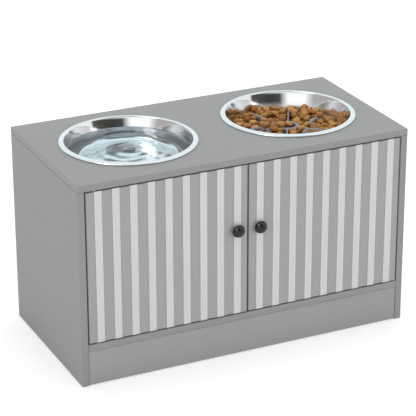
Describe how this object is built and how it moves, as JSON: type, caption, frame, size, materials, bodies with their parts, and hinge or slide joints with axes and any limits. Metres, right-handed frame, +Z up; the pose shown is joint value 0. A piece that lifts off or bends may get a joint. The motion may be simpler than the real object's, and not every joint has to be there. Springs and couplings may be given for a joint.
{
  "type": "elevated dog feeder with storage",
  "caption": "Raised pet feeding cabinet with steel bowls hanging in the top board and hinged doors over a storage space.",
  "frame": {"origin": "on the floor, at the centre of the overall footprint, knobs included", "axes": "+X to the right seen from the doors, +Y from the doors towards the back, +Z up"},
  "size_m": [0.6, 0.316, 0.3582],
  "materials": {
    "board": "grey coated fibreboard, fine satin",
    "back_board": "grey coated hardboard, satin",
    "stripe_foil": "light grey foil, fine satin",
    "knob": "black gloss",
    "steel": "polished stainless steel",
    "insert_plastic": "grey satin",
    "zinc": "zinc plated",
    "magnet": "sintered ferrite",
    "nylon": "moulded nylon",
    "beech": "fluted beech"
  },
  "bodies": {
    "cabinet": {"top_board": "board", "side_panel_left": "board", "side_panel_right": "board", "bottom_board": "board", "plinth": "board", "back_panel": "back_board", "cam_bolts": "zinc", "cam_locks": "zinc", "dowels": "beech", "pivot_bushes": "nylon", "catch_housing": "nylon", "catch_magnets": "magnet", "catch_pole_plates": "zinc", "catch_screws": "zinc"},
    "left_door": {"left_door_panel": "board", "left_door_stripes": "stripe_foil", "left_knob": "knob", "left_knob_screw": "zinc", "left_pivot_pins": "zinc", "left_strike_plate": "zinc", "left_strike_screw": "zinc"},
    "right_door": {"right_door_panel": "board", "right_door_stripes": "stripe_foil", "right_knob": "knob", "right_knob_screw": "zinc", "right_pivot_pins": "zinc", "right_strike_plate": "zinc", "right_strike_screw": "zinc"},
    "left_bowl": {"water_bowl": "steel"},
    "right_bowl": {"food_bowl": "steel", "feeder_insert": "insert_plastic"}
  },
  "joints": [
    {"name": "left_door_hinge", "type": "hinge", "parent": "cabinet", "child": "left_door", "pos_m": [-0.27, -0.136, 0.208], "axis": [0, 0, -1], "range_deg": [0, 110]},
    {"name": "right_door_hinge", "type": "hinge", "parent": "cabinet", "child": "right_door", "pos_m": [0.27, -0.136, 0.208], "axis": [0, 0, 1], "range_deg": [0, 110]},
    {"name": "left_bowl_lift", "type": "slide", "parent": "cabinet", "child": "left_bowl", "axis": [0, 0, 1], "range_m": [0, 0.1]},
    {"name": "right_bowl_lift", "type": "slide", "parent": "cabinet", "child": "right_bowl", "axis": [0, 0, 1], "range_m": [0, 0.1]}
  ]
}
